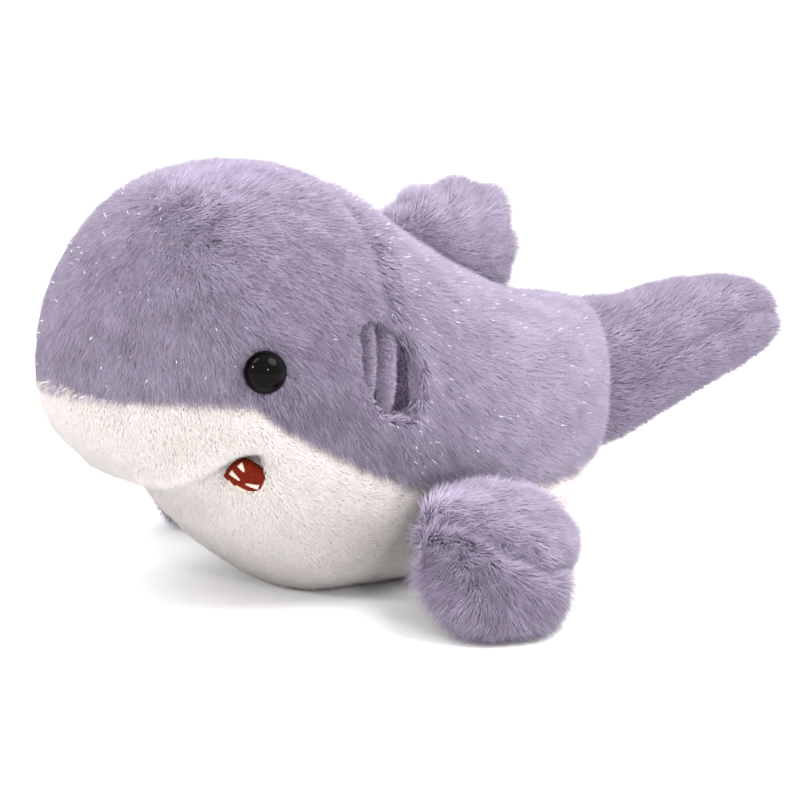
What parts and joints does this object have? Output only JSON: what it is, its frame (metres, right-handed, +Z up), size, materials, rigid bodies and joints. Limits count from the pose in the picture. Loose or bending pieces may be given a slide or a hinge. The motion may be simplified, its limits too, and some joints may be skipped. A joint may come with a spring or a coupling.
{
  "type": "plush shark",
  "caption": "Soft toy shark lying on its belly, with a big round head, long pile, dome eyes, pleated gills and bendable stuffed fins and tail.",
  "frame": {"origin": "on the surface that the belly rests on, under the middle of the whole toy's length and width", "axes": "+Y from head to tail, +X towards the shark's own left side, +Z up"},
  "size_m": [0.2098, 0.2848, 0.1305],
  "materials": {
    "lavender_plush": "long soft plush pile",
    "white_plush": "short soft plush pile",
    "red_felt": "brushed felt",
    "white_thread": "satin stitch",
    "black_plastic": "polished dome",
    "washer_plastic": "moulded natural plastic",
    "fibre_fill": "loose polyester fibre"
  },
  "bodies": {
    "body": {"back_panel_left": "lavender_plush", "back_panel_right": "lavender_plush", "belly_panel": "white_plush", "body_stuffing": "fibre_fill", "eye_left": "black_plastic", "eye_right": "black_plastic", "eye_washer_left": "washer_plastic", "eye_washer_right": "washer_plastic", "gill_panel_left": "lavender_plush", "gill_panel_right": "lavender_plush", "head_panel_left": "lavender_plush", "head_panel_right": "lavender_plush", "lower_teeth_left": "white_thread", "lower_teeth_right": "white_thread", "mouth_patch_left": "red_felt", "mouth_patch_right": "red_felt", "muzzle_panel": "white_plush", "upper_teeth_left": "white_thread", "upper_teeth_right": "white_thread"},
    "dorsal_fin": {"dorsal_fin_left": "lavender_plush", "dorsal_fin_right": "lavender_plush", "dorsal_fin_stuffing": "fibre_fill"},
    "tail_fin": {"tail_fin_left": "lavender_plush", "tail_fin_right": "lavender_plush", "tail_fin_stuffing": "fibre_fill"},
    "pectoral_fin_left": {"pectoral_fin_left_top": "lavender_plush", "pectoral_fin_left_bottom": "lavender_plush", "pectoral_fin_left_stuffing": "fibre_fill"},
    "pectoral_fin_right": {"pectoral_fin_right_top": "lavender_plush", "pectoral_fin_right_bottom": "lavender_plush", "pectoral_fin_right_stuffing": "fibre_fill"}
  },
  "joints": [
    {"name": "dorsal_flop", "type": "hinge", "parent": "body", "child": "dorsal_fin", "pos_m": [0, -0.00588, 0.10634], "axis": [0, 0.9123, -0.4096], "range_deg": [-30, 30], "stiffness_Nm_per_rad": 0.02},
    {"name": "pectoral_left_flap", "type": "hinge", "parent": "body", "child": "pectoral_fin_left", "pos_m": [0.06499, -0.03543, 0.03199], "axis": [0, -1, 0], "range_deg": [-10, 50], "stiffness_Nm_per_rad": 0.05},
    {"name": "pectoral_right_flap", "type": "hinge", "parent": "body", "child": "pectoral_fin_right", "pos_m": [-0.06499, -0.03543, 0.03199], "axis": [0, 1, 0], "range_deg": [-10, 50], "stiffness_Nm_per_rad": 0.05},
    {"name": "tail_wag", "type": "hinge", "parent": "body", "child": "tail_fin", "pos_m": [0, 0.062, 0.06], "axis": [0, 0, 1], "range_deg": [-30, 30], "stiffness_Nm_per_rad": 0.05}
  ]
}
